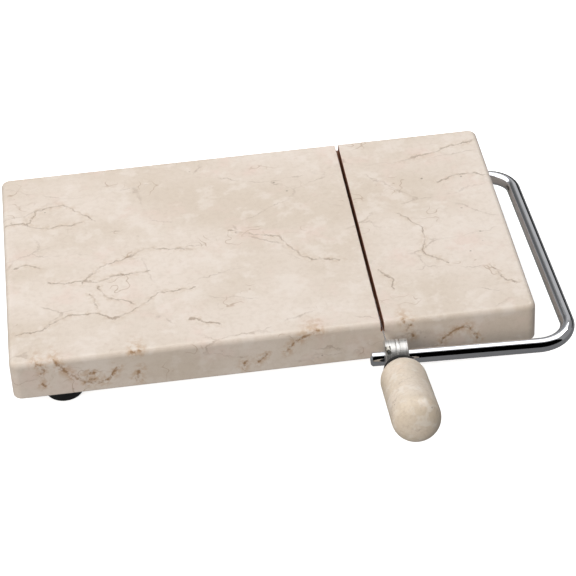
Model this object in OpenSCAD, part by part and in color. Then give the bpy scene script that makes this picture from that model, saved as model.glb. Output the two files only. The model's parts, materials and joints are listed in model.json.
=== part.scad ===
// Cheese wire cutter: a marble board with a hinged steel arm that carries a
// taut wire down into a slot, and a marble grip on the arm's free end.
// Millimetres. +Z is up and the rubber feet stand on z = 0.
// The arm is drawn closed, with its wire lying in the slot.

/* [Board] */
// Length of the board, left to right
board_l = 203.2; // [165:0.1:260]
// Width of the board, front to back
board_w = 127; // [100:0.1:165]
// Thickness of the stone
board_t = 17; // [14:0.1:24]
// Rounding of the top edge
top_r = 2.2; // [0.5:0.1:3]
// Rounding of the bottom edge
base_r = 1; // [0.3:0.1:2]
// Radius of the four upright corners
corner_r = 3.6; // [3:0.1:12]

/* [Feet] */
// Diameter of a rubber foot where it meets the stone
foot_d = 15.8; // [12.5:0.1:20]
// Diameter of a foot near the table
foot_tread_d = 14.8; // [8:0.1:16]
// Rounding at the foot of a foot
foot_round_r = 1.2; // [0.5:0.1:2]
// Height of the straight rim at the top of a foot
foot_rim = 0.8; // [0.3:0.1:1.5]
// Height from the table to the underside of the stone
foot_h = 5.5; // [4:0.1:10]
// Foot's rim in from the board's end
foot_in_x = 11.6; // [5:0.1:35]
// Foot's rim in from the board's long edge
foot_in_y = 1.8; // [1:0.1:25]
// Thickness of the adhesive disc over each foot
disc_t = 0.4; // [0.2:0.1:1]
// Diameter of the adhesive disc
disc_d = 12; // [6:0.1:12.5]

/* [Slot] */
// Width of the saw cut that takes the wire
slot_w = 1.4; // [1:0.1:3]
// Middle of the cut from the board's right end
slot_in = 60.1; // [40:0.1:90]
// Depth of the cut at the front and back faces
lip_depth = 3.6; // [2:0.1:5]
// Depth of the cut below the hinge line
slot_under = 1.2; // [0.8:0.1:2]

/* [Hinge] */
// Hinge line from the board's back face
hinge_in = 25.5; // [15:0.1:45]
// Hinge line below the top of the stone
hinge_drop = 8.5; // [7:0.1:9]
// Wall of the nylon bushes that the rod turns in
bush_wall = 0.95; // [0.6:0.05:1.5]
// How far the outer bush is set in from the board's end face
bush_in = 1.8; // [1.8:0.1:4]
// Length of the bush at the mouth of the bore
bush_outer_l = 14; // [6:0.1:25]
// Length of the bush at the blind end of the bore
bush_inner_l = 6; // [4:0.1:12]
// Gap between the slot and the inner bush
bush_slot_gap = 0.3; // [0.1:0.1:2]
// Rod that stands past the inner bush
rod_past_bush = 0.6; // [0.2:0.1:3]
// Gap between the rod's end and the blind end of the bore
end_gap = 1.2; // [0.5:0.1:4]
// Radial running gap between a turning piece and its hole
run_gap = 0.05; // [0.02:0.01:0.1]

/* [Arm] */
// Diameter of the chromed steel rod
rod_d = 5.6; // [4.6:0.1:6.8]
// Radius of the bend beside the hinge, to the rod's centre line
rear_bend_r = 11.1; // [8:0.1:14]
// Radius of the bend at the front corner, to the rod's centre line
front_bend_r = 13; // [7:0.1:18]
// How far inside the mouth of the bore the rear bend starts
bend_in = 1.5; // [0:0.1:1.6]
// Outward splay of the side leg, degrees
splay = 1.25; // [0:0.25:3]
// Inward pull of the front leg towards the board, degrees
pull = 2.9; // [0:0.1:4]
// Clear gap between the board's front face and the sleeve
front_gap = 4; // [3:0.1:12]
// Free end of the rod beyond the sleeve
tail = 5.4; // [2:0.1:20]
// Chamfer on the rod's ends
rod_chamfer = 0.7; // [0.3:0.1:1]

/* [Sleeve] */
// Length of the sleeve along the leg
sleeve_l = 9; // [7.5:0.1:14]
// Metal of the sleeve over the wire's hole
wire_cover = 0.75; // [0.4:0.05:2]
// Wire's place in from the sleeve's left end
wire_in = 1.1; // [1:0.1:1.6]
// Fine turned line, from the sleeve's right end
line_at = 4.8; // [3.8:0.1:5.5]
// Depth and half width of the fine line
line_deep = 0.2; // [0.1:0.05:0.3]
// Deep groove, from the sleeve's right end to its near side
groove_at = 3.1; // [2:0.1:3.4]
// Width of the deep groove
groove_w = 0.5; // [0.3:0.1:0.8]
// Depth of the deep groove
groove_deep = 0.6; // [0.3:0.1:1]
// Chamfer on the sleeve's ends
sleeve_chamfer = 0.4; // [0.2:0.1:0.6]

/* [Wire] */
// Diameter of the cutting wire
wire_d = 0.6; // [0.4:0.1:0.8]
// Radial gap round the wire in the holes it threads
wire_hole_gap = 0.1; // [0.05:0.05:0.2]
// Diameter of the ball on the wire's hinge end
ball_d = 2.2; // [1.8:0.1:2.7]
// How far the ball lies inside the rod's outline
ball_sunk = 0.2; // [0.1:0.1:0.5]
// Diameter of the crimp on the wire's sleeve end
crimp_d = 1.8; // [1.2:0.1:1.8]
// Length of the crimp
crimp_l = 2.4; // [1.5:0.1:4]
// Bare wire beyond the crimp
wire_tail = 0.3; // [0.1:0.1:1]
// Seat of the crimp, in front of the leg's centre line
seat_in_front = 1.4; // [0.8:0.1:2]
// Gap between the lying wire and the slot's lip
wire_gap = 0.15; // [0.05:0.05:0.3]

/* [Grip] */
// Upward tilt of the grip, degrees
grip_tilt = 10; // [0:1:15]
// Length of the marble grip
grip_l = 42.5; // [34:0.1:60]
// Diameter of the grip at its inner end
grip_d = 17.8; // [14.5:0.1:22]
// Diameter of the grip at its outer end
grip_end_d = 18.6; // [15:0.1:24]
// Depth of the grip's rounded ends as a share of their radius
dome = 0.9; // [0.7:0.05:1]
// Marble left flat round the insert at the inner end
grip_rim = 1; // [0.5:0.1:2]
// Diameter of the threaded stud
stud_d = 3; // [2.5:0.1:3.6]
// Steel left in the rod behind the stud's hole
stud_floor = 0.6; // [0.4:0.1:1]
// Gap between the stud's tip and the bottom of its hole
stud_tip_gap = 0.2; // [0.1:0.1:0.5]
// Length of stud inside the grip
stud_in_grip = 15; // [10:0.1:22]
// Wall of the brass insert in the grip
insert_wall = 1.5; // [1:0.1:2]
// Insert beyond the end of the stud
insert_past = 1; // [0.5:0.1:3]
// Height of the lock nut
nut_h = 2.4; // [1.8:0.1:3.5]
// Lock nut's width across flats, beyond the stud's diameter
nut_meat = 2.5; // [2:0.1:4]
// Diameter of the washer behind the grip
washer_d = 13.4; // [10:0.1:16.5]
// Thickness of the washer
washer_t = 1.8; // [1.2:0.1:3]
// Bevel on the washer's inner edge
washer_bevel = 0.7; // [0.3:0.1:0.9]
// Gap between the sleeve and the nut
nut_gap = 0.3; // [0.3:0.1:1]

/* [Hidden] */

fine = 96;
medium = 64;
coarse = 32;
rod_r = rod_d / 2;
wire_r = wire_d / 2;
ball_r = ball_d / 2;
stud_r = stud_d / 2;
bush_od = rod_d + 2 * (run_gap + bush_wall);
insert_d = stud_d + 2 * insert_wall;
past = 1; // how far a cut runs beyond the piece that it opens

// heights
top_z = foot_h + board_t;
hinge_z = top_z - hinge_drop;
lip_z = top_z - lip_depth;

// hinge line, slot and bore, measured from the middle of the board
hinge_y = board_w / 2 - hinge_in;
slot_x = board_l / 2 - slot_in;
face_x = board_l / 2;
inner_bush_x = slot_x - slot_w / 2 - bush_slot_gap - bush_inner_l;
rod_end_x = inner_bush_x - rod_past_bush;
bore_end_x = rod_end_x - end_gap;

// the wire runs from the hinge line to just above the slot's front lip
wire_rise = lip_z + wire_gap + wire_r - hinge_z;
wire_run = board_w / 2 + hinge_y;
wire_a = atan(wire_rise / wire_run);

// the sleeve is as large as it needs to be for the wire to pass through its rim
sleeve_r = ((wire_run + front_gap) * tan(wire_a) + wire_r + wire_cover) / (1 - tan(wire_a));
sleeve_x = slot_x - wire_in + sleeve_l / 2;
sleeve_y = -board_w / 2 - front_gap - sleeve_r;
seat_at = (hinge_y - sleeve_y) / cos(wire_a) + seat_in_front;

// the arm's plan: rear leg, rear bend, side leg, front bend, front leg
b1 = [face_x - bend_in, hinge_y - rear_bend_r];
e1 = b1 + rear_bend_r * [cos(splay), sin(splay)];
side_l = (e1[1] - sleeve_y - front_bend_r * (sin(splay) + cos(pull))
    + (e1[0] - front_bend_r * (cos(splay) + sin(pull)) - sleeve_x) * tan(pull))
    / (cos(splay) - sin(splay) * tan(pull));
e2 = e1 + side_l * [sin(splay), -cos(splay)];
b2 = e2 - front_bend_r * [cos(splay), sin(splay)];
e3 = b2 + front_bend_r * [-sin(pull), -cos(pull)];
rear_l = b1[0] - rod_end_x - rod_chamfer;
front_l = (e3[0] - sleeve_x) / cos(pull) + sleeve_l / 2 + tail - rod_chamfer;
turn = 90 + splay + pull;

// stations along the grip's axis, from the leg's centre line
nut_s = sleeve_r + nut_gap;
washer_s = nut_s + nut_h;
grip_s = washer_s + washer_t;

// the origin is the middle of the whole outline on the table
out_right = b2[0] + front_bend_r + rod_r;
end_r = grip_end_d / 2;
tip_mid = grip_s + grip_l - dome * end_r;
out_front = sleeve_y - tip_mid * cos(grip_tilt)
    - sqrt(pow(dome * end_r * cos(grip_tilt), 2) + pow(end_r * sin(grip_tilt), 2));
shift = [-(out_right - face_x) / 2, -(out_front + board_w / 2) / 2, 0];

// points along an arc
function arc(c, r, a0, a1, n) =
    [for (i = [0 : n]) let (a = a0 + (a1 - a0) * i / n) c + r * [cos(a), sin(a)]];

// ---- frames ----
module placed() { translate(shift) children(); }
// +Z runs along the hinge line, from x to the right
module on_hinge(x) { translate([x, hinge_y, hinge_z]) rotate([0, 90, 0]) children(); }
// +Z runs along the wire, from the hinge line to the sleeve
module along_wire() {
    translate([slot_x, hinge_y, hinge_z]) rotate([90 - wire_a, 0, 0]) children();
}
// +Z runs along the front leg, from the sleeve's left end to its right
module along_leg() {
    translate([sleeve_x, sleeve_y, hinge_z]) rotate([0, 0, -pull]) rotate([0, 90, 0])
        translate([0, 0, -sleeve_l / 2]) children();
}
// +Z runs along the grip, from the leg's centre line outwards
module along_grip() {
    translate([sleeve_x, sleeve_y, hinge_z]) rotate([90 - grip_tilt, 0, 0]) children();
}
// a tube along +Z, open at both ends
module tube(od, bore, length, facets = medium) {
    difference() {
        cylinder(d = od, h = length, $fn = facets);
        translate([0, 0, -past]) cylinder(d = bore, h = length + 2 * past, $fn = medium);
    }
}

// ---- board ----
// half of the slab's edge, from its middle out to "half"
module edge_profile(half) {
    polygon(concat([[0, 0]],
        arc([half - base_r, base_r], base_r, -90, 0, 4),
        arc([half - top_r, board_t - top_r], top_r, 0, 90, 8),
        [[0, board_t]]));
}

module slab_strip(length, half) {
    rotate([90, 0, 0]) linear_extrude(height = length, center = true) {
        edge_profile(half);
        mirror([1, 0]) edge_profile(half);
    }
}

module slab() {
    l = board_l / 2 - corner_r;
    w = board_w / 2 - corner_r;
    translate([0, 0, foot_h]) {
        // full-width middle, with the long edges rounded
        rotate([0, 0, 90]) slab_strip(2 * l, board_w / 2);
        // the two end strips
        for (s = [0, 180]) rotate([0, 0, s]) translate([l, 0, 0])
            rotate([90, 0, 0]) linear_extrude(height = 2 * w, center = true) edge_profile(corner_r);
        // the corners
        for (q = [[l, w, 0], [-l, w, 90], [-l, -w, 180], [l, -w, 270]])
            translate([q[0], q[1], 0]) rotate([0, 0, q[2]])
                rotate_extrude(angle = 90, $fn = medium) edge_profile(corner_r);
    }
}

// the saw cut is shallow at both faces and reaches below the hinge line between them
module slot_cut() {
    under = hinge_z - slot_under;
    front_k = (lip_z - under) / (board_w / 2 + hinge_y);
    back_k = (lip_z - under) / (board_w / 2 - hinge_y);
    half = board_w / 2 + past;
    translate([slot_x, 0, 0]) rotate([90, 0, 90])
        linear_extrude(height = slot_w, center = true)
            polygon([[-half, lip_z + past * front_k], [hinge_y, under],
                [half, lip_z + past * back_k], [half, top_z + past], [-half, top_z + past]]);
}

module marble_board() {
    color([0.87, 0.83, 0.76]) placed() difference() {
        slab();
        slot_cut();
        on_hinge(bore_end_x) cylinder(d = bush_od, h = face_x - bore_end_x + past, $fn = fine);
    }
}

// ---- feet ----
rubber_h = foot_h - disc_t;

module at_foot(sx, sy) {
    translate([sx * (board_l / 2 - foot_in_x - foot_d / 2), sy * (board_w / 2 - foot_in_y - foot_d / 2), 0])
        children();
}

module foot(sx, sy) {
    tread = arc([foot_tread_d / 2 - foot_round_r, foot_round_r], foot_round_r, -90, -10, 6);
    color([0.06, 0.06, 0.06]) placed() at_foot(sx, sy) rotate_extrude($fn = medium)
        polygon(concat([[0, 0]], tread,
            [[foot_d / 2, rubber_h - foot_rim], [foot_d / 2, rubber_h], [0, rubber_h]]));
}

module foot_front_left() { foot(-1, -1); }
module foot_front_right() { foot(1, -1); }
module foot_rear_left() { foot(-1, 1); }
module foot_rear_right() { foot(1, 1); }

module foot_discs() {
    color([0.2, 0.2, 0.2]) placed() for (sx = [-1, 1], sy = [-1, 1])
        at_foot(sx, sy) translate([0, 0, rubber_h]) cylinder(d = disc_d, h = disc_t, $fn = medium);
}

// ---- hinge bushes ----
module bush(x, length) {
    color([0.93, 0.92, 0.88]) placed() on_hinge(x) tube(bush_od, rod_d + 2 * run_gap, length, fine);
}

module bush_outer() { bush(face_x - bush_in - bush_outer_l, bush_outer_l); }
module bush_inner() { bush(inner_bush_x, bush_inner_l); }

// ---- arm ----
// a straight length of rod from the frame's origin along -Y
module straight(length) {
    rotate([90, 0, 0]) cylinder(r = rod_r, h = length, $fn = fine);
}

// the same, ending in a chamfered tip
module last_straight(length) {
    straight(length);
    translate([0, -length, 0]) rotate([90, 0, 0])
        cylinder(r1 = rod_r, r2 = rod_r - rod_chamfer, h = rod_chamfer, $fn = fine);
}

// a bend about the frame's origin
module bend(r, angle) {
    rotate_extrude(angle = angle, $fn = fine) translate([r, 0]) circle(r = rod_r, $fn = fine);
}

module bent_rod() {
    translate([b1[0], b1[1], hinge_z]) {
        // rear leg, in the bore
        translate([0, rear_bend_r, 0]) rotate([0, 0, -90]) last_straight(rear_l);
        rotate([0, 0, splay]) {
            bend(rear_bend_r, 90 - splay);
            translate([rear_bend_r, 0, 0]) {
                straight(side_l);
                translate([-front_bend_r, -side_l, 0]) rotate([0, 0, -turn]) {
                    bend(front_bend_r, turn);
                    translate([front_bend_r, 0, 0]) last_straight(front_l);
                }
            }
        }
    }
}

ball_z = -(rod_r - ball_sunk - ball_r);

module arm_rod() {
    color([0.80, 0.81, 0.82]) placed() difference() {
        bent_rod();
        along_wire() {
            cylinder(r = wire_r + wire_hole_gap, h = 2 * rod_d, center = true, $fn = coarse);
            // opened out behind for the wire's ball
            translate([0, 0, ball_z + ball_r - rod_d])
                cylinder(r = ball_r + run_gap, h = rod_d, $fn = medium);
        }
        // tapped hole for the grip's stud
        along_grip() translate([0, 0, stud_floor - rod_r])
            cylinder(r = stud_r + run_gap, h = rod_d, $fn = medium);
    }
}

// ---- sleeve ----
// the sleeve's outline from its right end to its left, turned about the leg
module sleeve_profile() {
    r = sleeve_r;
    c = sleeve_chamfer;
    line = sleeve_l - line_at;
    groove = sleeve_l - groove_at - groove_w;
    polygon([[rod_r, 0], [r - c, 0], [r, c],
        [r, line - line_deep], [r - line_deep, line], [r, line + line_deep],
        [r, groove], [r - groove_deep, groove],
        [r - groove_deep, groove + groove_w], [r, groove + groove_w],
        [r, sleeve_l - c], [r - c, sleeve_l], [rod_r, sleeve_l]]);
}

module tension_sleeve() {
    notch = crimp_d / 2 + wire_hole_gap;
    color([0.72, 0.73, 0.74]) placed() difference() {
        along_leg() rotate_extrude($fn = fine) sleeve_profile();
        along_grip() cylinder(r = stud_r + run_gap, h = 2 * sleeve_r, $fn = medium);
        along_wire() {
            translate([0, 0, seat_at - 2 * sleeve_r])
                cylinder(r = wire_r + wire_hole_gap, h = 2 * sleeve_r + past, $fn = coarse);
            // open notch that the crimp sits in
            translate([-wire_in - past, -notch, seat_at])
                cube([wire_in + past + notch, 2 * sleeve_r, 2 * sleeve_r]);
        }
    }
}

// ---- wire ----
module cutting_wire() {
    start = ball_z - ball_r;
    color([0.62, 0.63, 0.64]) placed() along_wire() translate([0, 0, start])
        cylinder(r = wire_r, h = seat_at + crimp_l + wire_tail - start, $fn = coarse);
}

module wire_ball() {
    color([0.66, 0.66, 0.66]) placed() along_wire() difference() {
        translate([0, 0, ball_z]) sphere(r = ball_r, $fn = medium);
        cylinder(r = wire_r, h = 2 * rod_d, center = true, $fn = coarse);
    }
}

module wire_crimp() {
    color([0.75, 0.70, 0.60]) placed() along_wire() translate([0, 0, seat_at]) tube(crimp_d, wire_d, crimp_l);
}

// ---- grip ----
module grip_stud() {
    start = stud_floor + stud_tip_gap - rod_r;
    color([0.70, 0.70, 0.70]) placed() along_grip() translate([0, 0, start])
        cylinder(r = stud_r, h = grip_s + stud_in_grip - start, $fn = medium);
}

module lock_nut() {
    color([0.72, 0.72, 0.72]) placed() along_grip() translate([0, 0, nut_s])
        tube((stud_d + nut_meat) / cos(30), stud_d, nut_h, 6);
}

module cup_washer() {
    r = washer_d / 2;
    b = washer_bevel;
    color([0.12, 0.12, 0.13]) placed() along_grip() translate([0, 0, washer_s]) rotate_extrude($fn = fine)
        polygon([[stud_r, 0], [r - b, 0], [r, b], [r, washer_t], [stud_r, washer_t]]);
}

module grip_insert() {
    color([0.80, 0.66, 0.36]) placed() along_grip() translate([0, 0, grip_s])
        tube(insert_d, stud_d, stud_in_grip + insert_past);
}

module marble_grip() {
    r = grip_d / 2;
    a0 = asin((insert_d / 2 + grip_rim) / r);
    near = [for (i = [0 : 12]) let (a = a0 + (90 - a0) * i / 12) [r * sin(a), dome * r * (cos(a0) - cos(a))]];
    far = arc([0, 0], end_r, 0, 90, 16);
    far_mid = grip_l - dome * end_r;
    color([0.86, 0.81, 0.73]) placed() along_grip() translate([0, 0, grip_s]) difference() {
        rotate_extrude($fn = fine)
            polygon(concat([[0, 0]], near, [for (p = far) [max(p[0], 0), far_mid + dome * p[1]]]));
        translate([0, 0, -past]) cylinder(d = insert_d, h = stud_in_grip + insert_past + past, $fn = medium);
    }
}

marble_board();
foot_front_left();
foot_front_right();
foot_rear_left();
foot_rear_right();
foot_discs();
bush_outer();
bush_inner();
arm_rod();
tension_sleeve();
cutting_wire();
wire_ball();
wire_crimp();
grip_stud();
lock_nut();
cup_washer();
grip_insert();
marble_grip();
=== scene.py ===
import bpy
import bmesh
import json
import math
from mathutils import Matrix, Vector


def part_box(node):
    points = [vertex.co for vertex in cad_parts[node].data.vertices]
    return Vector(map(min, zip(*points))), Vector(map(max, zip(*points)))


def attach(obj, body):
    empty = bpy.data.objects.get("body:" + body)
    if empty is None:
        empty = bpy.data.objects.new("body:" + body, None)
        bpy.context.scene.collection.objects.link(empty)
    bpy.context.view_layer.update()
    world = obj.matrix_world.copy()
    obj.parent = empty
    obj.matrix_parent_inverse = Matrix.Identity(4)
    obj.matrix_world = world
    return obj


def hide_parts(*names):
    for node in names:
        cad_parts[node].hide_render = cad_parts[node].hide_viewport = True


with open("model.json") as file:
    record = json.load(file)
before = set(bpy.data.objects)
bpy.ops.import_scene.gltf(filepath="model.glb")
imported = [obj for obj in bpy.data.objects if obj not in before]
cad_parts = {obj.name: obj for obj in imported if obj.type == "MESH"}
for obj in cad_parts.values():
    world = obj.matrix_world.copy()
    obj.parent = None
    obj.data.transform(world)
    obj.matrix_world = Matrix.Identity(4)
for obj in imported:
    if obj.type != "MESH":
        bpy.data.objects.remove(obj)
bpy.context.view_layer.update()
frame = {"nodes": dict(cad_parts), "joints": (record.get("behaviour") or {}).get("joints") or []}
mm = 0.001
joints = {j["name"]: j for j in frame["joints"]}
hingeAt = Vector(joints["arm_lift"]["pos_m"])  # on the hinge line, in the middle of the slot
sleeveAt = Vector(joints["grip_turn"]["pos_m"])
gripAxis = Vector(joints["grip_turn"]["axis"]).normalized()
boardLow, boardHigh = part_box("marble_board")
rodLow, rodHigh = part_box("arm_rod")
rodR = (rodHigh.z - rodLow.z) / 2
crimpLow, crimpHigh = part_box("wire_crimp")
wireDir = ((crimpLow + crimpHigh) / 2 - hingeAt).normalized()  # from the hinge to the sleeve
legPull = math.radians(2.9)  # the front leg leans in towards the grip
legDir = Vector((math.cos(legPull), -math.sin(legPull), 0))
print("frame loaded,", len(frame["nodes"]), "pieces")

# camera
cameraRig = {
    "place": (-0.06042, -0.70514, 0.55441),
    "turn": 5.0307,  # degrees to the right of straight ahead
    "down": 37.0178,
    "lean": -3.4539,
    "lens": 140.98,
}


def aimCamera(rig):
    turn, down, lean = (math.radians(rig[k]) for k in ("turn", "down", "lean"))
    ahead = Vector((math.sin(turn) * math.cos(down), math.cos(turn) * math.cos(down), -math.sin(down)))
    right = Vector((math.cos(turn), -math.sin(turn), 0))
    up = right.cross(ahead)
    leanRight = math.cos(lean) * right + math.sin(lean) * up
    leanUp = -math.sin(lean) * right + math.cos(lean) * up
    data = bpy.data.cameras.new("studioCamera")
    data.lens, data.sensor_width = rig["lens"], 36
    data.clip_start, data.clip_end = 0.02, 20
    cam = bpy.data.objects.new("studioCamera", data)
    bpy.context.scene.collection.objects.link(cam)
    turned = Matrix((leanRight, leanUp, -ahead)).transposed().to_4x4()
    cam.matrix_world = Matrix.Translation(rig["place"]) @ turned
    bpy.context.scene.camera = cam


aimCamera(cameraRig)
print("camera set")


# a short way to add and link shader nodes
class nodeBench:
    def __init__(self, tree):
        self.tree = tree
        self.tree.nodes.clear()

    def add(self, kind, settings=None, **inputs):
        node = self.tree.nodes.new("ShaderNode" + kind)
        for key, value in (settings or {}).items():
            setattr(node, key, value)
        for key, value in inputs.items():  # i0, i1 and so on go by number, the rest by name
            numbered = key[0] == "i" and key[1:].isdigit()
            self.feed(node.inputs[int(key[1:]) if numbered else key.replace("_", " ")], value)
        return node

    def feed(self, slot, value):
        if isinstance(value, bpy.types.NodeSocket):
            self.tree.links.new(value, slot)
        else:
            slot.default_value = value

    def math(self, job, a, b=0.0, clamp=False):
        return self.add("Math", {"operation": job, "use_clamp": clamp}, i0=a, i1=b).outputs[0]

    def vector(self, job, a, b=(0, 0, 0), c=(0, 0, 0)):
        node = self.add("VectorMath", {"operation": job}, i0=a, i1=b)
        if job == "MULTIPLY_ADD":
            self.feed(node.inputs[2], c)
        return node.outputs[1 if job in ("DOT_PRODUCT", "LENGTH", "DISTANCE") else 0]

    def noise(self, at, scale, detail=2.0, rough=0.5, colour=False):
        node = self.add("TexNoise", Vector=at, Scale=scale, Detail=detail, Roughness=rough)
        return node.outputs["Color" if colour else "Fac"]

    def ease(self, value, low, high, out0=0.0, out1=1.0):
        # a smooth step from out0 at low to out1 at high
        return self.add("MapRange", {"interpolation_type": "SMOOTHSTEP"}, Value=value, From_Min=low,
                        From_Max=high, To_Min=out0, To_Max=out1).outputs[0]

    def mix(self, share, a, b, blend="MIX"):
        node = self.add("Mix", {"data_type": "RGBA", "blend_type": blend})
        for index, value in ((0, share), (6, a), (7, b)):
            self.feed(node.inputs[index], value)
        return node.outputs[2]

    def finish(self, sockets, bumpHeight=None, bumpDepth=0.0, bumpStrength=1.0):
        shader = self.add("BsdfPrincipled")
        for name, value in sockets.items():
            self.feed(shader.inputs[name], value)
        if bumpHeight is not None:
            bump = self.add("Bump", Strength=bumpStrength, Distance=bumpDepth, Height=bumpHeight)
            self.tree.links.new(bump.outputs[0], shader.inputs["Normal"])
        out = self.add("OutputMaterial")
        self.tree.links.new(shader.outputs[0], out.inputs[0])


def tint(r, g, b):
    # a finish's colour as seen on a screen, turned into light
    return tuple(((c / 255 + 0.055) / 1.055) ** 2.4 for c in (r, g, b)) + (1.0,)


def benchFor(owner):
    owner.use_nodes = True
    return nodeBench(owner.node_tree)


def newFinish(name):
    finish = bpy.data.materials.new(name)
    bench = benchFor(finish)
    place = bench.add("TexCoord").outputs["Object"]
    inMm = bench.vector("MULTIPLY", place, (1000, 1000, 1000))  # patterns below are drawn in millimetres
    return finish, bench, inMm


# marble, colours as seen on a screen and lengths in millimetres
boardStone = {
    "light": (231, 219, 208), "deep": (219, 205, 190), "blush": (230, 209, 198),
    "vein": (172, 152, 135), "rust": (164, 130, 98), "darkSpot": (122, 100, 80), "pale": (236, 226, 217),
    "dusk": (196, 178, 160), "sugar": (250, 243, 235), "halo": (206, 184, 160), "stain": (196, 160, 122),
    "mottle": 0.2, "shift": (0, 0, 0), "grainSize": 1.0, "veinLevel": 0.8, "gloss": 0.36,
    # long cracks on the top, in millimetres from the middle of the outline
    "topVeins": [
        [(-107, 61), (-98, 60), (-95, 69), (-85, 72), (-76, 64), (-71, 57)],
        [(-98, 60), (-92, 56), (-77, 58)],
        [(-105, 31), (-99, 32), (-95, 29)],
        [(-73, 13), (-67, 4), (-60, 0)],
        [(-75, 9), (-73, -2)],
        [(-106, -14), (-95, -12), (-86, -5), (-73, -5), (-68, -9), (-61, -6), (-50, 3), (-36, 5)],
        [(-38, -15), (-33, -19), (-26, -21)],
        [(-91, 18), (-74, 16), (-52, 19)],
        [(-79, 15), (-71, 25), (-50, 34), (-34, 31)],
        [(81, -4), (84, -10), (90, -16)],
        [(70, 60), (85, 62), (93, 60)],
        [(60, 76), (77, 82), (92, 87)],
        [(39, 2), (44, -5), (43, -11)],
        [(52, 40), (60, 28), (58, 12), (66, 2)],
        [(-18, 40), (2, 33), (10, 18), (24, 12)],
    ],
    # short marks on the front face, as x and height
    "frontMarks": [
        [(57, 9.5), (58, 12), (63, 15.5), (67, 16.7), (70, 13), (71.5, 9.5)],
        [(41, 25), (43.5, 20.5), (44, 18)], [(44, 19.5), (45.5, 20.5)], [(45.5, 15.5), (46, 14.5)],
        [(-92, 22.5), (-90.5, 20)], [(-90, 18.5), (-87.5, 16.5)],
        [(-59.5, 14), (-60, 13)], [(-61.5, 10), (-60, 8.5)],
        [(-91, 21.5), (-87, 16), (-81, 10.5), (-75, 9.5), (-71, 11.5), (-68, 16)],
        [(-60, 13.5), (-61, 9)], [(-77, 11.6), (-78.6, 11.4)],
        [(-79.6, 13.2), (-78.4, 14.7), (-76.6, 14.3)],
        [(-62, 21.8), (-59, 22)], [(-97, 12), (-96, 11)],
        [(-99, 21.5), (-96.5, 20.5), (-96, 18.5), (-97, 17)],
        [(-19, 11.5), (-20, 9)],
        [(-14, 11), (-11, 14)],
        [(-3, 14), (0, 18), (6, 21.3), (10, 22)],
    ],
}
gripStone = dict(boardStone, light=(240, 227, 212), deep=(222, 206, 184), blush=(238, 216, 194),
                 pale=(246, 238, 228), shift=(37, 180, 91), mottle=0.34, grainSize=0.55, veinLevel=0.7,
                 gloss=0.33, topVeins=[], frontMarks=[])


def strokeStep():
    # the distance from a point to one straight stroke, kept if it is the least so far
    group = bpy.data.node_groups.new("strokeStep", "ShaderNodeTree")
    for name, kind in (("Point", "NodeSocketVector"), ("Start", "NodeSocketVector"),
                       ("Reach", "NodeSocketVector"), ("Best", "NodeSocketFloat")):
        group.interface.new_socket(name, in_out="INPUT", socket_type=kind)
    group.interface.new_socket("Best", in_out="OUTPUT", socket_type="NodeSocketFloat")
    group.interface.new_socket("Point", in_out="OUTPUT", socket_type="NodeSocketVector")
    bench = nodeBench(group)
    source, sink = group.nodes.new("NodeGroupInput"), group.nodes.new("NodeGroupOutput")
    away = bench.vector("SUBTRACT", source.outputs[0], source.outputs[1])
    reach = source.outputs[2]
    span = bench.vector("DOT_PRODUCT", reach, reach)
    along = bench.math("DIVIDE", bench.vector("DOT_PRODUCT", away, reach), span, True)
    scaled = bench.add("VectorMath", {"operation": "SCALE"}, i0=reach, Scale=along).outputs[0]
    far = bench.vector("DISTANCE", away, scaled)
    best = bench.math("MINIMUM", far, source.outputs[3])
    group.links.new(best, sink.inputs[0])
    # the point is handed on with next to nothing added, which makes the strokes wait for each other: the
    # renderer runs out of room when it holds them all at once
    group.links.new(bench.vector("MULTIPLY_ADD", best, (1e-9, 1e-9, 1e-9), source.outputs[0]), sink.inputs[1])
    return group


strokeGroup = strokeStep()


def strokeDistance(bench, point, strokes):
    best = 50.0
    for stroke in strokes:
        for a, b in zip(stroke, stroke[1:]):
            node = bench.tree.nodes.new("ShaderNodeGroup")
            node.node_tree = strokeGroup
            reach = Vector(b) - Vector(a)
            for name, value in (("Point", point), ("Start", a), ("Reach", reach), ("Best", best)):
                bench.feed(node.inputs[name], value)
            best, point = node.outputs
    return best


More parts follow.
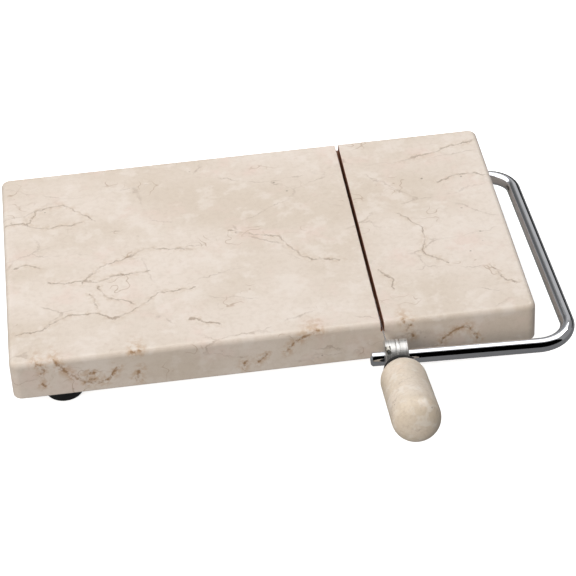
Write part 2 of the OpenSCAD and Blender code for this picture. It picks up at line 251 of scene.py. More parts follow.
def marbleFinish(name, stone):
    finish, bench, here = newFinish(name)
    cream = {k: tint(*stone[k]) for k in ("light", "deep", "blush", "vein", "rust", "darkSpot", "pale",
                                          "dusk", "sugar", "halo", "stain")}
    fine = 1 / stone["grainSize"]
    at = bench.vector("ADD", here, stone["shift"])
    # ground: drifting cream, pink clouds and a fine sugary grain
    drift = bench.noise(bench.vector("MULTIPLY", at, (0.7, 1.2, 1.6)), 0.022 * fine, 4, 0.55)
    colour = bench.mix(bench.ease(drift, 0.36, 0.66), cream["light"], cream["deep"])
    clouds = bench.noise(at, 0.045 * fine, 3, 0.6)
    colour = bench.mix(bench.ease(clouds, 0.52, 0.72, 0, 0.6), colour, cream["blush"])
    mottle = bench.noise(at, 0.5 * fine, 4, 0.62)
    colour = bench.mix(bench.ease(mottle, 0.42, 0.7, 0.0, stone["mottle"]), colour, cream["dusk"])
    pale = bench.noise(bench.vector("ADD", at, (17, 5, 43)), 0.13 * fine, 3, 0.6)
    colour = bench.mix(bench.ease(pale, 0.5, 0.68, 0.0, 0.55), colour, cream["pale"])
    grain = bench.noise(at, 2.6 * fine, 2, 0.6)
    colour = bench.mix(bench.ease(grain, 0.35, 0.75, 0.0, 0.08), colour, cream["sugar"])
    # crinkled coordinates for everything that runs in lines
    slow = bench.noise(at, 0.08 * fine, 2, 0.5, True)
    slow = bench.vector("MULTIPLY_ADD", slow, (7, 7, 7), (-3.5, -3.5, -3.5))
    quick = bench.noise(at, 0.42 * fine, 3, 0.6, True)
    quick = bench.vector("MULTIPLY_ADD", quick, (3, 3, 3), (-1.5, -1.5, -1.5))
    crinkled = bench.vector("ADD", at, bench.vector("ADD", slow, quick))
    patchy = bench.noise(at, 0.06 * fine, 2, 0.5)
    broken = bench.noise(at, 0.21 * fine, 3, 0.65)
    # hairline cracks, the edges of stretched cells
    stretched = bench.vector("MULTIPLY_ADD", crinkled, (0.75, 1.5, 1.3), (33, 8, 21))
    cells = bench.add("TexVoronoi", {"feature": "DISTANCE_TO_EDGE"}, Scale=0.026 * fine, Vector=stretched)
    hair = bench.ease(cells.outputs["Distance"], 0.003, 0.016, 1, 0)
    hair = bench.math("MULTIPLY", hair, bench.ease(patchy, 0.46, 0.62))
    hair = bench.math("MULTIPLY", hair, bench.ease(broken, 0.38, 0.6, 0.15, 0.62 * stone["veinLevel"]))
    colour = bench.mix(hair, colour, cream["vein"])
    dents = hair
    # long cracks laid one by one; they slope down into the stone
    if stone["topVeins"]:
        top = boardHigh.z / mm
        flat = bench.vector("MULTIPLY", bench.vector("ADD", crinkled, (0, 0, -top)), (1, 1, 0))
        depth = bench.add("SeparateXYZ", Vector=crinkled).outputs[2]
        lean = bench.vector("MULTIPLY_ADD", bench.add("CombineXYZ", X=depth, Y=depth, Z=depth).outputs[0],
                            (0.5, -0.35, 0), (-0.5 * top, 0.35 * top, 0))
        far = strokeDistance(bench, bench.vector("ADD", flat, lean),
                             [[(x, y, 0) for x, y in line] for line in stone["topVeins"]])
        line = bench.math("MULTIPLY", bench.ease(far, 0.12, 0.62, 1, 0),
                          bench.ease(broken, 0.36, 0.62, 0.22, 0.85))
        halo = bench.math("MULTIPLY", bench.ease(far, 0.3, 3.2, 0.32, 0), bench.ease(mottle, 0.4, 0.65))
        colour = bench.mix(halo, colour, cream["halo"])
        colour = bench.mix(line, colour, cream["vein"])
        dents = bench.math("MAXIMUM", dents, line)
    # rust squiggles: contour lines of a small noise, only in a few places
    worms = bench.noise(at, 0.16 * fine, 1, 0.4)
    worm = bench.ease(bench.math("ABSOLUTE", bench.math("SUBTRACT", worms, 0.47)), 0.006, 0.02, 1, 0)
    spots = bench.noise(bench.vector("ADD", at, (11, 93, 57)), 0.05 * fine, 2, 0.5)
    worm = bench.math("MULTIPLY", worm, bench.ease(spots, 0.6, 0.68, 0, 0.6 * stone["veinLevel"]))
    colour = bench.mix(worm, colour, cream["rust"])
    if stone["frontMarks"]:
        near = bench.vector("MULTIPLY", bench.vector("MULTIPLY_ADD", quick, (0.8, 0.8, 0.8), at), (1, 0.3, 1))
        face = boardLow.y / mm * 0.3
        marks = strokeDistance(bench, near, [[(x, face, z) for x, z in line] for line in stone["frontMarks"]])
        stain = bench.math("MULTIPLY", bench.ease(marks, 0.3, 3.8, 0.58, 0), bench.ease(mottle, 0.38, 0.62))
        mark = bench.math("MULTIPLY", bench.ease(marks, 0.2, 0.8, 1, 0),
                          bench.ease(mottle, 0.33, 0.6, 0.1, 0.9))
        colour = bench.mix(stain, colour, cream["stain"])
        colour = bench.mix(mark, colour, cream["rust"])
        dents = bench.math("MAXIMUM", dents, mark)
    # a few dark specks
    dots = bench.add("TexVoronoi", {"feature": "F1"}, Scale=0.11 * fine, Vector=at).outputs["Distance"]
    speck = bench.math("MULTIPLY", bench.ease(dots, 0.035, 0.075, 1, 0), bench.ease(patchy, 0.5, 0.6, 0, 0.6))
    colour = bench.mix(speck, colour, cream["darkSpot"])
    dents = bench.math("MAXIMUM", dents, speck)
    wear = bench.ease(bench.noise(at, 0.09, 3, 0.6), 0.3, 0.7, stone["gloss"] - 0.05, stone["gloss"] + 0.07)
    height = bench.math("SUBTRACT", bench.math("MULTIPLY", grain, 0.12), dents)
    bench.finish({"Base Color": colour, "Roughness": wear, "IOR": 1.5, "Specular IOR Level": 0.45},
                 height, 0.00006, 0.6)
    return finish


# the other finishes
def metalFinish(name, colour, rough, spread, grainScale, dulled, stretch=(1, 1, 1), bump=0.0):
    finish, bench, here = newFinish(name)
    streak = bench.noise(bench.vector("MULTIPLY", here, stretch), grainScale, 3, 0.6)
    smear = bench.noise(here, 0.12, 3, 0.6)
    rougher = bench.math("ADD", bench.ease(streak, 0.3, 0.7, rough, rough + spread),
                         bench.ease(smear, 0.45, 0.75, 0.0, spread * 0.5))
    base = bench.mix(bench.ease(smear, 0.3, 0.7), tint(*colour), tint(*dulled))
    height = streak if bump else None
    bench.finish({"Base Color": base, "Metallic": 1.0, "Roughness": rougher}, height, bump * mm, 0.5)
    return finish


def turnedFinish(name, colour, rough, at, axis):
    # lathe-turned metal: rings round the axis and faint brushing across them
    finish, bench, here = newFinish(name)
    away = bench.vector("SUBTRACT", here, at / mm)
    station = bench.vector("DOT_PRODUCT", away, axis)
    rings = bench.add("TexNoise", {"noise_dimensions": "1D"}, W=station, Scale=1.5, Detail=3.0,
                      Roughness=0.75).outputs["Fac"]
    brushed = bench.noise(bench.vector("MULTIPLY", here, (0.35, 6, 6)), 1.2, 2, 0.6)
    shade = bench.mix(bench.ease(rings, 0.35, 0.65), tint(*[c - 36 for c in colour]), tint(*colour))
    rougher = bench.math("ADD", bench.ease(brushed, 0.3, 0.7, rough, rough + 0.12),
                         bench.ease(rings, 0.3, 0.7, 0, 0.08))
    both = bench.math("ADD", rings, bench.math("MULTIPLY", brushed, 0.6))
    bench.finish({"Base Color": shade, "Metallic": 0.82, "Roughness": rougher}, both, 0.00004, 0.8)
    return finish


def mouldedFinish(name, colour, lighter, rough, grain, bump, soft=0.0):
    finish, bench, here = newFinish(name)
    speckle = bench.noise(here, grain, 3, 0.6)
    cloud = bench.noise(here, 0.35, 2, 0.5)
    base = bench.mix(bench.ease(cloud, 0.35, 0.7), tint(*colour), tint(*lighter))
    sockets = {"Base Color": base, "Roughness": bench.ease(speckle, 0.3, 0.7, rough - 0.05, rough + 0.08),
               "Subsurface Weight": soft, "Subsurface Radius": (0.002, 0.002, 0.0015)}
    bench.finish(sockets, speckle, bump * mm, 0.6)
    return finish


finishes = {
    "board_marble": marbleFinish("boardMarble", boardStone),
    "grip_marble": marbleFinish("gripMarble", gripStone),
    "rod_chrome": metalFinish("rodChrome", (236, 237, 240), 0.035, 0.035, 0.9, (230, 231, 236)),
    "sleeve_satin": turnedFinish("sleeveSatin", (226, 224, 221), 0.26, sleeveAt, legDir),
    "wire_steel": metalFinish("wireSteel", (198, 199, 202), 0.18, 0.14, 3.0, (198, 199, 202), (6, 0.3, 6),
                              bump=0.01),
    # the crimp is tinned
    "crimp_brass": metalFinish("crimpBrass", (212, 210, 204), 0.3, 0.14, 2.0, (200, 196, 186), bump=0.01),
    "stud_steel": metalFinish("studSteel", (205, 206, 208), 0.26, 0.14, 1.6, (190, 192, 190), bump=0.008),
    "insert_brass": metalFinish("insertBrass", (226, 190, 112), 0.3, 0.12, 2.2, (206, 168, 92), bump=0.01),
    "washer_black": mouldedFinish("washerBlack", (24, 24, 26), (34, 34, 35), 0.42, 3.5, 0.02),
    "foot_rubber": mouldedFinish("footRubber", (14, 14, 15), (24, 24, 25), 0.5, 4.0, 0.03),
    "disc_adhesive": mouldedFinish("discAdhesive", (58, 58, 60), (74, 73, 72), 0.8, 2.6, 0.05),
    # rough sawn stone in the slot, coloured dark brown as painted shade
    "saw_cut_painted_shade": mouldedFinish("sawCutPaintedShade", (152, 102, 78), (172, 126, 98), 0.85, 1.6, 0.06),
    "bush_nylon": mouldedFinish("bushNylon", (236, 232, 222), (228, 222, 208), 0.4, 2.0, 0.01, soft=0.15),
}
print("finishes made:", ", ".join(sorted(finishes)))


# mesh helpers
def makePiece(name, verts, faces):
    mesh = bpy.data.meshes.new(name)
    mesh.from_pydata([tuple(v) for v in verts], [], faces)
    bm = bmesh.new()
    bm.from_mesh(mesh)
    bmesh.ops.remove_doubles(bm, verts=bm.verts, dist=1e-8)
    bmesh.ops.recalc_face_normals(bm, faces=bm.faces)
    bm.to_mesh(mesh)
    bm.free()
    piece = bpy.data.objects.new(name, mesh)
    bpy.context.scene.collection.objects.link(piece)
    return piece


def bakeModifiers(piece):
    graph = bpy.context.evaluated_depsgraph_get()
    shaped = bpy.data.meshes.new_from_object(piece.evaluated_get(graph))
    piece.modifiers.clear()
    old, piece.data = piece.data, shaped
    bpy.data.meshes.remove(old)
    shaped.name = piece.name


def cutWith(piece, *cutters):
    for cutter in cutters:
        cut = piece.modifiers.new("cut", "BOOLEAN")
        cut.operation, cut.solver, cut.object = "DIFFERENCE", "EXACT", cutter
        bakeModifiers(piece)
        bpy.data.objects.remove(cutter)


def settle(piece, body, node, slot, sharp=35):
    # smooth shading with crisp edges, then the piece takes its place on the frame
    mesh = piece.data
    mesh.shade_smooth()
    mesh.set_sharp_from_angle(angle=math.radians(sharp))
    flat = piece.modifiers.new("evenNormals", "WEIGHTED_NORMAL")
    flat.keep_sharp = True
    if not mesh.materials:
        mesh.materials.append(finishes[slot])
    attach(piece, body)
    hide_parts(node)
    return piece


def softCorners(points, size, steps=3, closed=True):
    # rounds every corner of an outline a little, as tooling and tumbling do
    out, count = [], len(points)
    for k, (x, y) in enumerate(points):
        if not closed and k in (0, count - 1):
            out.append((x, y))
            continue
        here, before, after = Vector((x, y)), Vector(points[k - 1]), Vector(points[(k + 1) % count])
        cut = min(size, (here - before).length * 0.45, (here - after).length * 0.45)
        a, b = here + (before - here).normalized() * cut, here + (after - here).normalized() * cut
        for s in range(steps + 1):
            t = s / steps
            out.append(tuple((1 - t) ** 2 * a + 2 * t * (1 - t) * here + t * t * b))
    return out


def lathe(name, outline, at, axis, sides=96, ring=False):
    # outline: distance from the axis and place along it; a ring closes on itself
    turn = Vector((0, 0, 1)).rotation_difference(axis).to_matrix()
    verts, faces, rows = [], [], []
    for r, s in outline:
        count = 1 if r < 1e-8 else sides
        rows.append(list(range(len(verts), len(verts) + count)))
        for k in range(count):
            a = 2 * math.pi * k / sides
            verts.append(at + turn @ Vector((r * math.cos(a), r * math.sin(a), s)))
    for low, high in zip(rows, rows[1:] + ([rows[0]] if ring else [])):
        for k in range(sides):
            n = (k + 1) % sides
            face = [low[k % len(low)], low[n % len(low)], high[n % len(high)], high[k % len(high)]]
            face = list(dict.fromkeys(face))
            if len(face) > 2:
                faces.append(face)
    return makePiece(name, verts, faces)


def rodCutter(r, start, end, sides=64):
    long = (end - start).length
    return lathe("cutter", [(0, 0), (r, 0), (r, long), (0, long)], start, (end - start).normalized(), sides)


# board
boardCut = {
    "topRound": 2.2 * mm, "baseRound": 1.0 * mm, "cornerRound": 3.6 * mm,
    "slotWide": 1.4 * mm, "lipDeep": 3.6 * mm, "slotUnder": 1.2 * mm,
    "slotEase": 0.25 * mm,  # the slot's edges are stoned off by hand
    "boreWide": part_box("bush_outer")[1].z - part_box("bush_outer")[0].z,
    "boreEnd": rodLow.x, "boreSpare": 1.2 * mm,
}


def boardOutline(inset, z, steps=12):
    # one level of the slab: a rectangle with round corners
    mid, half = (boardLow + boardHigh) / 2, (boardHigh - boardLow) / 2
    r = boardCut["cornerRound"]
    ring = []
    for corner, (sx, sy) in enumerate(((1, 1), (-1, 1), (-1, -1), (1, -1))):
        cx, cy = mid.x + sx * (half.x - r), mid.y + sy * (half.y - r)
        for k in range(steps + 1):
            a = math.radians(90 * corner + 90 * k / steps)
            ring.append(Vector((cx + (r - inset) * math.cos(a), cy + (r - inset) * math.sin(a), z)))
    return ring


def makeBoard():
    top, base = boardCut["topRound"], boardCut["baseRound"]
    levels = [(base * (1 - math.sin(a)), boardLow.z + base * (1 - math.cos(a)))
              for a in (math.radians(90 * k / 6) for k in range(7))]
    levels += [(top * (1 - math.cos(a)), boardHigh.z - top * (1 - math.sin(a)))
               for a in (math.radians(90 * k / 12) for k in range(13))]
    rings = [boardOutline(inset, z) for inset, z in levels]
    count = len(rings[0])
    verts = [v for ring in rings for v in ring]
    faces = [list(range(count))[::-1], list(range(len(verts) - count, len(verts)))]
    for level in range(len(rings) - 1):
        for k in range(count):
            n, b = (k + 1) % count, level * count
            faces.append([b + k, b + n, b + n + count, b + k + count])
    board = makePiece("marbleBoard", verts, faces)
    # the saw cut: shallow at both faces, deep at the hinge line
    past, half = 1 * mm, boardCut["slotWide"] / 2
    lip, under = boardHigh.z - boardCut["lipDeep"], hingeAt.z - boardCut["slotUnder"]
    front, back = boardLow.y - past, boardHigh.y + past
    frontK = (lip - under) / (hingeAt.y - boardLow.y)
    backK = (lip - under) / (boardHigh.y - hingeAt.y)
    side = [(front, lip + past * frontK), (hingeAt.y, under), (back, lip + past * backK),
            (back, boardHigh.z + past), (front, boardHigh.z + past)]
    saw = [Vector((hingeAt.x + s * half, y, z)) for s in (-1, 1) for y, z in side]
    sawFaces = [[0, 1, 2, 3, 4], [9, 8, 7, 6, 5]]
    sawFaces += [[k, (k + 1) % 5, (k + 1) % 5 + 5, k + 5] for k in range(5)]
    boreFrom = Vector((boardCut["boreEnd"] - boardCut["boreSpare"], hingeAt.y, hingeAt.z))
    boreTo = Vector((boardHigh.x + past, hingeAt.y, hingeAt.z))
    bore = rodCutter(boardCut["boreWide"] / 2, boreFrom, boreTo, 96)
    cutWith(board, makePiece("saw", saw, sawFaces), bore)
    easeSlot(board)
    return board


def easeSlot(board):
    # only the slot's outer edges and the bore's mouth are broken
    bm = bmesh.new()
    bm.from_mesh(board.data)
    weight = bm.edges.layers.float.new("bevel_weight_edge")
    reach = boardCut["boreWide"] / 2 + 0.4 * mm
    half = boardCut["slotWide"] / 2 + 0.01 * mm
    for edge in bm.edges:
        if len(edge.link_faces) != 2 or edge.calc_face_angle(0) < 0.6:
            continue
        mid = (edge.verts[0].co + edge.verts[1].co) / 2
        outer = [f for f in edge.link_faces if abs(f.calc_center_median().x - hingeAt.x) > half]
        onSlot = abs(mid.x - hingeAt.x) < half
        clear = math.hypot(mid.y - hingeAt.y, mid.z - hingeAt.z) > reach
        if (onSlot and len(outer) == 1 and clear) or abs(mid.x - boardHigh.x) < 1e-6:
            edge[weight] = 1.0
    bm.to_mesh(board.data)
    bm.free()
    ease = board.modifiers.new("ease", "BEVEL")
    ease.limit_method, ease.width, ease.segments = "WEIGHT", boardCut["slotEase"], 3
    bakeModifiers(board)
    # the saw leaves its walls rough; their dark brown colour is painted shade, the shade that falls inside
    # the narrow slot
    board.data.materials.append(finishes["board_marble"])
    board.data.materials.append(finishes["saw_cut_painted_shade"])
    # the slot's walls and floor take the painted shade
    for face in board.data.polygons:
        inside = abs(face.center.x - hingeAt.x) < half
        if inside and (abs(face.normal.x) > 0.99 or face.center.z < boardHigh.z - boardCut["lipDeep"] * 0.9):
            face.material_index = 1


settle(makeBoard(), "base", "marble_board", "board_marble", 30)
print("board shaped")

# feet, their adhesive discs and the hinge bushes
footShape = {
    "rim": 0.8 * mm, "treadRound": 1.2 * mm, "tread": 14.8 * mm, "dish": 7 * mm, "dishDeep": 0.5 * mm,
    "lip": 0.15 * mm, "soft": 0.35 * mm,
}
bushShape = {"runGap": 0.05 * mm, "soft": 0.18 * mm}


def camelName(node):
    first, *rest = node.split("_")
    return first + "".join(word.title() for word in rest)


def makeFoot(node):
    low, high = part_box(node)
    at = Vector(((low.x + high.x) / 2, (low.y + high.y) / 2, low.z))
    tall, wide, tread = high.z - low.z, (high.x - low.x) / 2, footShape["tread"] / 2
    r, dish, lip = footShape["treadRound"], footShape["dish"] / 2, footShape["lip"]
    side = [(tread - r + r * math.cos(a), r + r * math.sin(a))
            for a in (math.radians(-90 + 10 * k) for k in range(9))]
    outline = [(0, footShape["dishDeep"]), (dish * 0.85, footShape["dishDeep"]), (dish, 0)] + side
    outline += [(wide, tall - footShape["rim"]), (wide, tall - lip), (wide - lip, tall), (0, tall)]
    foot = lathe(camelName(node), softCorners(outline, footShape["soft"], 4, False), at, Vector((0, 0, 1)))
    settle(foot, "base", node, "foot_rubber", 50)


for node in ("foot_front_left", "foot_front_right", "foot_rear_left", "foot_rear_right"):
    makeFoot(node)
discs = frame["nodes"]["foot_discs"]
discs.data.materials.clear()
discs.data.materials.append(finishes["disc_adhesive"])

for node in ("bush_outer", "bush_inner"):
    low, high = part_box(node)
    long, outer, inner = high.x - low.x, (high.z - low.z) / 2, rodR + bushShape["runGap"]
    outline = softCorners([(inner, 0), (outer, 0), (outer, long), (inner, long)], bushShape["soft"])
    bush = lathe(camelName(node), outline, Vector((low.x, hingeAt.y, hingeAt.z)), Vector((1, 0, 0)), 96, True)
    settle(bush, "base", node, "bush_nylon")
print("feet and bushes shaped")

# arm rod
armRod = {
    "rearBend": 11.1 * mm, "frontBend": 13 * mm, "bendIn": 1.5 * mm, "splay": math.radians(1.25),
    "tail": 9.9 * mm,  # from the sleeve's middle to the rod's free end
    "chamfer": 0.7 * mm, "sides": 72, "bendSteps": 40,
    "wireHole": 0.4 * mm, "ballSeat": 1.15 * mm,
    "studHole": 1.55 * mm, "studFloor": 0.6 * mm, "past": 1.2 * mm,
}


def armPath():
    # the centre line, from the blind end of the bore round to the free end, with its direction at each point
    splay, rear, front = armRod["splay"], armRod["rearBend"], armRod["frontBend"]
    z, chamfer = hingeAt.z, armRod["chamfer"]
    points = []

    def arc(cx, cy, r, start, end):
        for k in range(armRod["bendSteps"] + 1):
            a = start + (end - start) * k / armRod["bendSteps"]
            points.append((Vector((cx + r * math.cos(a), cy + r * math.sin(a), z)),
                           Vector((math.sin(a), -math.cos(a), 0))))

    bendX, bendY = boardHigh.x - armRod["bendIn"], hingeAt.y - rear
    points.append((Vector((rodLow.x + chamfer, hingeAt.y, z)), Vector((1, 0, 0))))
    arc(bendX, bendY, rear, math.pi / 2, splay)
    # side leg: its length comes from where the front leg has to meet the sleeve
    ex, ey = bendX + rear * math.cos(splay), bendY + rear * math.sin(splay)
    long = (ey - sleeveAt.y - front * (math.sin(splay) + math.cos(legPull))
            + (ex - front * (math.cos(splay) + math.sin(legPull)) - sleeveAt.x) * math.tan(legPull))
    long /= math.cos(splay) - math.sin(splay) * math.tan(legPull)
    fx = ex + long * math.sin(splay) - front * math.cos(splay)
    fy = ey - long * math.cos(splay) - front * math.sin(splay)
    arc(fx, fy, front, splay, -math.pi / 2 - legPull)
    # front leg, past the sleeve to the free end
    corner = points[-1][0]
    reach = (corner - sleeveAt).dot(legDir) + armRod["tail"] - chamfer
    points.append((corner - legDir * reach, -legDir))
    return points


def makeRod():
    path = armPath()
    chamfer, sides = armRod["chamfer"], armRod["sides"]
    first, last = path[0], path[-1]
    rings = [(first[0] - first[1] * chamfer, first[1], rodR - chamfer)]
    rings += [(p, d, rodR) for p, d in path]
    rings.append((last[0] + last[1] * chamfer, last[1], rodR - chamfer))
    verts, faces = [], []
    for place, heading, r in rings:
        side = Vector((heading.y, -heading.x, 0))
        for k in range(sides):
            a = 2 * math.pi * k / sides
            verts.append(place + r * (math.cos(a) * side + math.sin(a) * Vector((0, 0, 1))))
    for level in range(len(rings) - 1):
        for k in range(sides):
            n, b = (k + 1) % sides, level * sides
            faces.append([b + k, b + n, b + n + sides, b + k + sides])
    faces += [list(range(sides)), list(range(len(verts) - sides, len(verts)))]
    rod = makePiece("armRod", verts, faces)
    low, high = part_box("wire_ball")
    ball, through = (low + high) / 2, wireDir * (2 * rodR)
    cutWith(rod,
            rodCutter(armRod["wireHole"], hingeAt - through, hingeAt + through, 32),
            rodCutter(armRod["ballSeat"], hingeAt - through, ball + wireDir * (high.x - low.x) / 2, 48),
            rodCutter(armRod["studHole"], sleeveAt + gripAxis * (armRod["studFloor"] - rodR),
                      sleeveAt + gripAxis * (rodR + armRod["past"]), 48))
    return rod


settle(makeRod(), "arm", "arm_rod", "rod_chrome", 32)
print("arm rod bent")

# wire, ball and crimp; the sleeve's notch follows the crimp
wireShape = {
    "thick": 0.3 * mm, "ball": 1.1 * mm, "cut": 0.1 * mm, "tail": 0.3 * mm,
    "crimp": 0.9 * mm, "crimpLong": 2.4 * mm, "nip": 0.26 * mm, "squash": 0.22,
}
crimpSeat = (crimpLow + crimpHigh) / 2 - wireDir * wireShape["crimpLong"] / 2

# tension sleeve
sleeveCut = {
    "long": 9 * mm, "chamfer": 0.4 * mm, "line": 4.2 * mm, "lineDeep": 0.2 * mm,
    "groove": 5.4 * mm, "grooveWide": 0.5 * mm, "grooveDeep": 0.6 * mm,
    "notch": 1.0 * mm, "notchLeft": 2.1 * mm, "wireHole": 0.4 * mm, "holePast": 4 * mm, "open": 14 * mm,
}


def makeSleeve():
    low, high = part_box("tension_sleeve")
    r, long, c = (high.z - low.z) / 2, sleeveCut["long"], sleeveCut["chamfer"]
    line, lineDeep = sleeveCut["line"], sleeveCut["lineDeep"]
    groove, wide, deep = sleeveCut["groove"], sleeveCut["grooveWide"], sleeveCut["grooveDeep"]
    outline = [(rodR, 0), (r - c, 0), (r, c),
               (r, line - lineDeep), (r - lineDeep, line), (r, line + lineDeep),
               (r, groove), (r - deep, groove), (r - deep, groove + wide), (r, groove + wide),
               (r, long - c), (r - c, long), (rodR, long)]
    left = sleeveAt - legDir * long / 2
    sleeve = lathe("tensionSleeve", softCorners(outline, 0.08 * mm, 2), left, legDir, 144, True)
    # the crimp's notch is open above, to the left and in front
    up, notch, clear = wireDir.cross(Vector((1, 0, 0))), sleeveCut["notch"], sleeveCut["open"]
    up *= 1 if up.z > 0 else -1
    verts = [crimpSeat + Vector((dx, 0, 0)) + up * dy + wireDir * dz
             for dx in (-sleeveCut["notchLeft"], notch) for dy in (-notch, clear) for dz in (0, clear)]
    box = [[0, 1, 3, 2], [4, 6, 7, 5], [0, 4, 5, 1], [2, 3, 7, 6], [0, 2, 6, 4], [1, 5, 7, 3]]
    cutWith(sleeve,
            makePiece("notch", verts, box),
            rodCutter(sleeveCut["wireHole"], crimpSeat - wireDir * clear,
                      crimpSeat + wireDir * sleeveCut["holePast"], 32),
            rodCutter(armRod["studHole"], sleeveAt, sleeveAt + gripAxis * clear, 48))
    return sleeve


settle(makeSleeve(), "arm", "tension_sleeve", "sleeve_satin", 30)
print("sleeve turned")


def makeWire():
    low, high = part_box("wire_ball")
    start = (low + high) / 2 - wireDir * wireShape["ball"]
    end = crimpSeat + wireDir * (wireShape["crimpLong"] + wireShape["tail"])
    long, r = (end - start).length, wireShape["thick"]
    cut = wireShape["cut"]
    outline = [(0, 0), (r, 0), (r, long - cut), (r - cut, long), (0, long)]
    wire = lathe("cuttingWire", outline, start, wireDir, 32)
    settle(wire, "arm", "cutting_wire", "wire_steel", 50)
    # the ball is swaged on, with a small flat at each side
    b = wireShape["ball"]
    half = [(b * math.sin(math.radians(a)), -b * math.cos(math.radians(a))) for a in range(18, 163, 6)]
    outline = [(r, half[0][1])] + half + [(r, half[-1][1])]
    ball = lathe("wireBall", outline, (low + high) / 2, wireDir, 48, True)
    settle(ball, "arm", "wire_ball", "wire_steel", 50)
    # the crimp is pinched twice with pliers
    c, size = wireShape["crimp"], wireShape["crimpLong"]
    outline = [(r, 0)] + [(c, size * k / 24) for k in range(25)] + [(r, size)]
    crimp = lathe("wireCrimp", softCorners(outline, 0.08 * mm, 2), crimpSeat, wireDir, 48, True)
    for vert in crimp.data.vertices:
        station = (vert.co - crimpSeat).dot(wireDir)
        away = vert.co - crimpSeat - wireDir * station
        if away.length > c * 0.8:
            nip = sum(math.exp(-((station - size * k) / wireShape["nip"]) ** 2) for k in (0.32, 0.7))
            vert.co -= Vector((0, 0, away.z)) * wireShape["squash"] * nip
    settle(crimp, "arm", "wire_crimp", "crimp_brass", 40)


makeWire()
print("wire strung")


# grip: stud, nut, washer, insert and marble
gripShape = {
    "studR": 1.5 * mm, "studTaper": 0.35 * mm,
    "pitch": 0.5 * mm, "threadDeep": 0.28 * mm, "threadFade": 0.6 * mm,
    "nutFlats": 5.5 * mm, "nutLong": 2.4 * mm, "nutEase": 0.25 * mm,
    "washerBevel": 0.7 * mm, "washerLong": 1.8 * mm,
    "insertR": 3 * mm, "insertLong": 16 * mm, "insertGroove": 0.35 * mm,
    "long": 42.5 * mm, "inner": 8.9 * mm, "outer": 9.22 * mm, "shy": 0.08 * mm, "dome": 0.9, "fuller": 0.9,
    "rim": 1 * mm,
}


def stationOf(node):
    low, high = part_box(node)
    return ((low + high) / 2 - sleeveAt).dot(gripAxis)


def makeStud():
    # a real helix, one turn for each pitch
    low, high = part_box("grip_stud")
    r, pitch, sides, rowsPerTurn = gripShape["studR"], gripShape["pitch"], 32, 4
    deep, fade, taperLong = gripShape["threadDeep"], gripShape["threadFade"], gripShape["studTaper"]
    long = (high.y - low.y - 2 * r * abs(gripAxis.z)) / abs(gripAxis.y)
    start = sleeveAt + gripAxis * (stationOf("grip_stud") - long / 2)
    turn = Vector((0, 0, 1)).rotation_difference(gripAxis).to_matrix()
    verts, faces, rows = [], [], int(long / pitch * rowsPerTurn)
    for level in range(rows + 1):
        for k in range(sides):
            a = 2 * math.pi * k / sides
            s = long * level / rows
            phase = (s / pitch - k / sides) % 1
            cut = deep * (1 - abs(2 * phase - 1)) * min(1, s / fade, (long - s) / fade)
            at = r - cut - max(0, taperLong - min(s, long - s))
            verts.append(start + turn @ Vector((at * math.cos(a), at * math.sin(a), s)))
    for level in range(rows):
        for k in range(sides):
            n, b = (k + 1) % sides, level * sides
            faces.append([b + k, b + n, b + n + sides, b + k + sides])
    faces += [list(range(sides)), list(range(len(verts) - sides, len(verts)))]
    settle(makePiece("gripStud", verts, faces), "grip", "grip_stud", "stud_steel", 60)


def makeNut():
    # hexagon with its corners chamfered on both faces
    long, flat = gripShape["nutLong"], gripShape["nutFlats"] / 2
    hole, ease = gripShape["studR"], gripShape["nutEase"]
    start = sleeveAt + gripAxis * (stationOf("lock_nut") - long / 2)
    turn = Vector((0, 0, 1)).rotation_difference(gripAxis).to_matrix()
    sides, steps = 72, [0.14 * mm * k for k in range(6)]
    rings = [[(hole, ease)] * sides, [(hole + ease, 0)] * sides]
    for z in steps + [long - step for step in reversed(steps)]:
        cone = flat - 0.12 * mm + min(z, long - z) * math.tan(math.radians(60))
        angles = (2 * math.pi * k / sides % (math.pi / 3) - math.pi / 6 for k in range(sides))
        rings.append([(min(flat / math.cos(a), cone), z) for a in angles])
    rings += [[(hole + ease, long)] * sides, [(hole, long - ease)] * sides]
    verts, faces = [], []
    for ring in rings:
        for k, (r, z) in enumerate(ring):
            a = 2 * math.pi * k / sides
            verts.append(start + turn @ Vector((r * math.cos(a), r * math.sin(a), z)))
    for level in range(len(rings)):
        for k in range(sides):
            n, b, t = (k + 1) % sides, level * sides, (level + 1) % len(rings) * sides
            faces.append([b + k, b + n, t + n, t + k])
    settle(makePiece("lockNut", verts, faces), "grip", "lock_nut", "stud_steel", 24)


def makeWasher(start):
    # bevelled towards the nut
    low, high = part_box("cup_washer")
    wide, long, bevel = (high.x - low.x) / 2, gripShape["washerLong"], gripShape["washerBevel"]
    hole = gripShape["studR"]
    outline = [(hole, 0), (wide - bevel, 0), (wide, bevel), (wide, long), (hole, long)]
    washer = lathe("cupWasher", softCorners(outline, 0.2 * mm, 4), start, gripAxis, 96, True)
    settle(washer, "grip", "cup_washer", "washer_black", 50)


def makeInsert(start):
    # grooved outside so that the glue holds it
    r, deep, size = gripShape["insertR"], gripShape["insertGroove"], gripShape["insertLong"]
    outer = [(r, 0)]
    for k in range(5):
        s = (2.4 + 2.6 * k) * mm
        outer += [(r, s), (r - deep, s + 0.3 * mm), (r - deep, s + 0.9 * mm), (r, s + 1.2 * mm)]
    outer += [(r, size), (gripShape["studR"], size), (gripShape["studR"], 0)]
    insert = lathe("gripInsert", softCorners(outer, 0.1 * mm, 2), start, gripAxis, 72, True)
    settle(insert, "grip", "grip_insert", "insert_brass", 40)


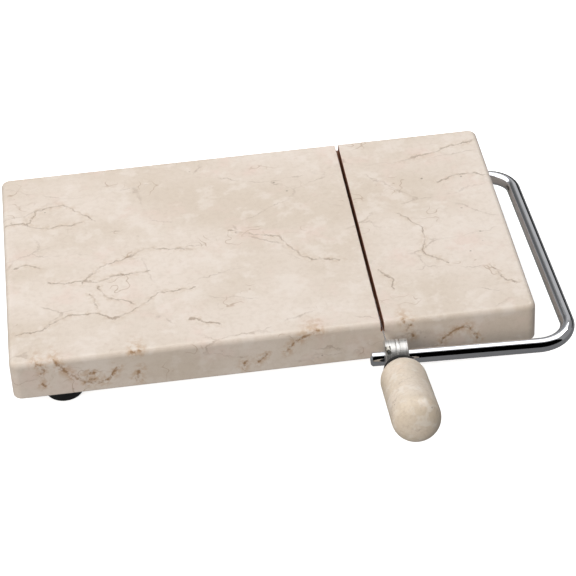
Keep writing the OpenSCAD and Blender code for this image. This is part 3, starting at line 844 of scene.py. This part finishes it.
def makeMarble(start):
    r, far, dome, fuller = gripShape["inner"], gripShape["outer"], gripShape["dome"], gripShape["fuller"]
    hole, rim = gripShape["insertR"], gripShape["rim"]
    # near end: a flat rim round the insert, then a dome up to the side
    first = math.asin((hole + rim) / r)
    outline = [(hole, 0), (hole + rim * 0.6, 0)]
    for k in range(25):
        a = first + (math.pi / 2 - first) * k / 24
        outline.append((r * math.sin(a), dome * r * (math.cos(first) - math.cos(a))))
    side = outline[-1][1]
    middle = gripShape["long"] - gripShape["shy"] - dome * far
    outline += [(r + (far - r) * k / 16, side + (middle - side) * k / 16) for k in range(1, 16)]
    # the far end is a touch fuller than an ellipse, so the side runs into it without a line
    outline += [(far * math.cos(a) ** fuller, middle + dome * far * math.sin(a) ** fuller)
                for a in (math.radians(90 * k / 36) for k in range(36))]
    outline += [(0, middle + dome * far), (0, gripShape["insertLong"]), (hole, gripShape["insertLong"])]
    settle(lathe("marbleGrip", outline, start, gripAxis, 128, True), "grip", "marble_grip", "grip_marble", 50)


makeStud()
makeNut()
washerAt = sleeveAt + gripAxis * (stationOf("lock_nut") + gripShape["nutLong"] / 2)
makeWasher(washerAt)
makeInsert(washerAt + gripAxis * gripShape["washerLong"])
makeMarble(washerAt + gripAxis * gripShape["washerLong"])
print("grip assembled")

# stage and light
studio = {
    "world": 0.27, "wide": 8.0,
    "floorGrey": 0.9, "floorGlow": 0.8, "table": 0.17,
    "softbox": 4.6, "softboxSize": 1.3, "softboxDeep": 0.75, "softboxAt": (-0.05, 0.28, 0.62),
    "fill": 13.0, "fillSize": 0.9, "fillAt": (-0.9, -1.1, 0.75), "fillColour": (1, 0.955, 0.89),
    "spark": 1.6, "sparkSize": 0.2, "sparkAt": (0.5, 0.35, 0.64), "sparkTo": (0.04, -0.09, 0.02),
    # upright cards that only the polished metal sees: left, right, y, low, high and glow
    "cards": {
        "blackFlag": (-4, 4, -1.6, -0.002, 5.5, 0),  # behind the camera
        "edgeCard": (0.5, 4, 1.6, 0, 0.64, 0.008),
        "dimCard": (-0.85, -0.12, 1.6, 0.75, 1.35, 0.12),
        "paleCard": (0.25, 1.4, 1.6, 0.65, 1.35, 0.5),
    },
}


def stageSheet(name, corners, colour, glow, onlyReflected):
    # the floor is seen by the camera and not by the metal, and the cards the other way round
    sheet = makePiece(name, corners, [[0, 1, 2, 3]])
    finish = bpy.data.materials.new(name)
    bench = benchFor(finish)
    lit = bench.add("Emission", Color=colour, Strength=glow).outputs[0]
    out = bench.add("OutputMaterial")
    if not onlyReflected:
        paper = bench.add("BsdfDiffuse", Color=colour).outputs[0]
        lit = bench.add("AddShader", i0=lit, i1=paper).outputs[0]
        away = bench.add("NewGeometry").outputs["Backfacing"]
        clear = bench.add("BsdfTransparent").outputs[0]
        lit = bench.add("MixShader", i0=away, i1=lit, i2=clear).outputs[0]  # see-through from below
    bench.feed(out.inputs[0], lit)
    sheet.data.materials.append(finish)
    sheet.visible_glossy = onlyReflected
    sheet.visible_diffuse = False
    if onlyReflected:
        sheet.visible_camera = sheet.visible_shadow = False


def flatCorners(z):
    wide = studio["wide"]
    return [(-wide, -wide, z), (wide, -wide, z), (wide, wide, z), (-wide, wide, z)]


def areaLight(name, place, target, wide, deep, power, colour=(1, 1, 1)):
    data = bpy.data.lights.new(name, "AREA")
    data.shape, data.size, data.size_y = "RECTANGLE", wide, deep
    data.energy, data.color = power, colour
    lamp = bpy.data.objects.new(name, data)
    bpy.context.scene.collection.objects.link(lamp)
    lamp.location = place
    lamp.rotation_mode = "QUATERNION"
    lamp.rotation_quaternion = (Vector(target) - Vector(place)).to_track_quat("-Z", "Y")
    lamp.visible_camera = False
    return lamp


grey = studio["floorGrey"]
stageSheet("floor", flatCorners(0), (grey, grey, grey, 1), studio["floorGlow"], False)
stageSheet("tableCard", flatCorners(-0.004), (1, 1, 1, 1), studio["table"], True)
for name, (left, right, y, low, high, glow) in studio["cards"].items():
    corners = [(left, y, low), (right, y, low), (right, y, high), (left, y, high)]
    stageSheet(name, corners, (1, 1, 1, 1), glow, True)
above = Vector(studio["softboxAt"])
areaLight("softbox", above, above - Vector((0, 0, 1)), studio["softboxSize"], studio["softboxDeep"],
          studio["softbox"])
fill = areaLight("fill", studio["fillAt"], (0, 0, 0), studio["fillSize"], studio["fillSize"], studio["fill"],
                 studio["fillColour"])
fill.visible_glossy = False
# a small lamp that only shows as a glint on the grip and the sleeve
spark = areaLight("spark", studio["sparkAt"], studio["sparkTo"], studio["sparkSize"], studio["sparkSize"],
                  studio["spark"])
spark.visible_diffuse = False
world = bpy.data.worlds.new("studio")
bpy.context.scene.world = world
air = benchFor(world)
sky = air.add("Background", Color=(1, 1, 1, 1), Strength=studio["world"])
air.feed(air.add("OutputWorld").inputs[0], sky.outputs[0])
bpy.context.scene.view_settings.view_transform = "Standard"
print("stage lit")
